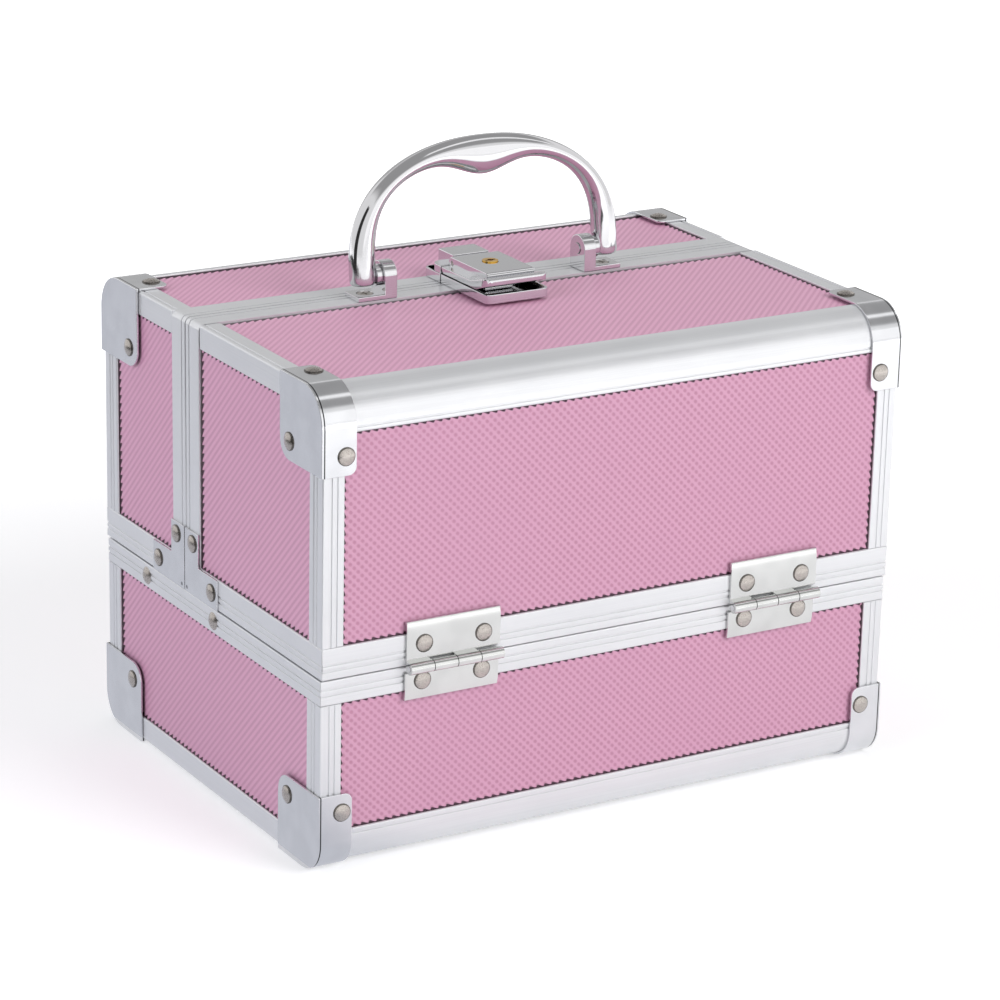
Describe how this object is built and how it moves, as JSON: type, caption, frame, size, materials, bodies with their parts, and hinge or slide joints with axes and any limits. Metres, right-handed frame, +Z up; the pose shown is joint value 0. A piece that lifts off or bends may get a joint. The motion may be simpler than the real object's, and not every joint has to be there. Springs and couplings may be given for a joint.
{
  "type": "makeup storage case",
  "caption": "Split-top train case with a carrying handle, a key latch and a tray in each outward-opening half-lid.",
  "frame": {"origin": "on the floor under the middle of the case", "axes": "+Z up, +X along the hinged long sides, front with the shorter view of the latch at -Y"},
  "size_m": [0.2446, 0.1838, 0.2335],
  "materials": {
    "aluminium_rail": "satin anodised extrusion",
    "bright_plate": "bright pressed sheet",
    "chrome_plate": "polished chrome",
    "rivet_steel": "plain nickel",
    "pink_panel": "fine pressed texture",
    "black_board": "matt",
    "lock_brass": "polished"
  },
  "bodies": {
    "base": {"base_front_panel": "pink_panel", "base_rear_panel": "pink_panel", "base_end_panels": "pink_panel", "base_bottom_panel": "black_board", "base_corner_posts": "aluminium_rail", "base_bottom_long_rails": "aluminium_rail", "base_bottom_end_rails": "aluminium_rail", "base_rim_rails": "aluminium_rail", "base_corner_guards": "bright_plate", "base_lining": "black_board", "base_rivets": "rivet_steel", "arm_pivot_rivets": "rivet_steel", "front_hinge_base_leaves": "bright_plate", "rear_hinge_base_leaves": "bright_plate", "hinge_pins": "aluminium_rail"},
    "front_lid": {"front_lid_top_panel": "pink_panel", "front_lid_front_panel": "pink_panel", "front_lid_end_panels": "pink_panel", "front_lid_corner_posts": "aluminium_rail", "front_lid_long_rail": "aluminium_rail", "front_lid_end_rails": "aluminium_rail", "front_lid_rim_rails": "aluminium_rail", "front_lid_meeting_rail": "aluminium_rail", "front_lid_corner_guards": "bright_plate", "front_lid_angle_plates": "bright_plate", "front_lid_rivets": "rivet_steel", "front_lid_hinge_leaves": "bright_plate", "front_lid_lining": "black_board", "front_tray_brackets": "aluminium_rail", "handle_brackets": "chrome_plate", "handle_screws": "rivet_steel", "latch_base": "chrome_plate", "latch_pin": "rivet_steel"},
    "rear_lid": {"rear_lid_top_panel": "pink_panel", "rear_lid_rear_panel": "pink_panel", "rear_lid_end_panels": "pink_panel", "rear_lid_corner_posts": "aluminium_rail", "rear_lid_long_rail": "aluminium_rail", "rear_lid_end_rails": "aluminium_rail", "rear_lid_rim_rails": "aluminium_rail", "rear_lid_meeting_rail": "aluminium_rail", "rear_lid_corner_guards": "bright_plate", "rear_lid_angle_plates": "bright_plate", "rear_lid_rivets": "rivet_steel", "rear_lid_hinge_leaves": "bright_plate", "rear_lid_lining": "black_board", "rear_tray_brackets": "aluminium_rail", "latch_keeper": "chrome_plate"},
    "handle": {"handle": "chrome_plate", "handle_pins": "chrome_plate"},
    "latch_lever": {"latch_lever": "bright_plate"},
    "lock_cylinder": {"lock_cylinder": "lock_brass"},
    "latch_bolt": {"latch_bolt": "bright_plate"},
    "front_tray": {"front_tray": "black_board", "front_tray_dividers": "black_board"},
    "front_tray_arms": {"front_tray_arms": "aluminium_rail"},
    "rear_tray": {"rear_tray": "black_board", "rear_tray_dividers": "black_board"},
    "rear_tray_arms": {"rear_tray_arms": "aluminium_rail"}
  },
  "joints": [
    {"name": "front_lid_hinge", "type": "hinge", "parent": "base", "child": "front_lid", "pos_m": [0, -0.0897, 0.0738], "axis": [1, 0, 0], "range_deg": [0, 90]},
    {"name": "rear_lid_hinge", "type": "hinge", "parent": "base", "child": "rear_lid", "pos_m": [0, 0.0897, 0.0738], "axis": [-1, 0, 0], "range_deg": [0, 90]},
    {"name": "front_tray_pivot", "type": "hinge", "parent": "front_lid", "child": "front_tray", "pos_m": [0, -0.0732, 0.1188], "axis": [1, 0, 0], "range_deg": [-90, 0]},
    {"name": "front_arm_pivot", "type": "hinge", "parent": "base", "child": "front_tray_arms", "pos_m": [0, -0.0032, 0.06885], "axis": [1, 0, 0], "range_deg": [0, 90]},
    {"name": "rear_tray_pivot", "type": "hinge", "parent": "rear_lid", "child": "rear_tray", "pos_m": [0, 0.0692, 0.1188], "axis": [-1, 0, 0], "range_deg": [-90, 0]},
    {"name": "rear_arm_pivot", "type": "hinge", "parent": "base", "child": "rear_tray_arms", "pos_m": [0, 0.0521, 0.06885], "axis": [-1, 0, 0], "range_deg": [0, 90]},
    {"name": "handle_hinge", "type": "hinge", "parent": "front_lid", "child": "handle", "pos_m": [0.0015, 0.01295, 0.1862], "axis": [1, 0, 0], "range_deg": [-39, 96]},
    {"name": "lever_hinge", "type": "hinge", "parent": "front_lid", "child": "latch_lever", "pos_m": [-0.001, 0.0158, 0.1858], "axis": [-1, 0, 0], "range_deg": [0, 50]},
    {"name": "lock_turn", "type": "hinge", "parent": "latch_lever", "child": "lock_cylinder", "pos_m": [-0.001, 0.0052, 0.1858], "axis": [0, 0, 1], "range_deg": [0, 90]},
    {"name": "bolt_slide", "type": "slide", "parent": "front_lid", "child": "latch_bolt", "axis": [0, -1, 0], "range_m": [0, 0.0035]}
  ],
  "couplings": [
    {"joint": "front_tray_pivot", "follows": "front_lid_hinge", "ratio": -1},
    {"joint": "front_arm_pivot", "follows": "front_lid_hinge", "ratio": 1},
    {"joint": "rear_tray_pivot", "follows": "rear_lid_hinge", "ratio": -1},
    {"joint": "rear_arm_pivot", "follows": "rear_lid_hinge", "ratio": 1},
    {"joint": "bolt_slide", "follows": "lever_hinge", "m_per_rad": 0.004}
  ]
}
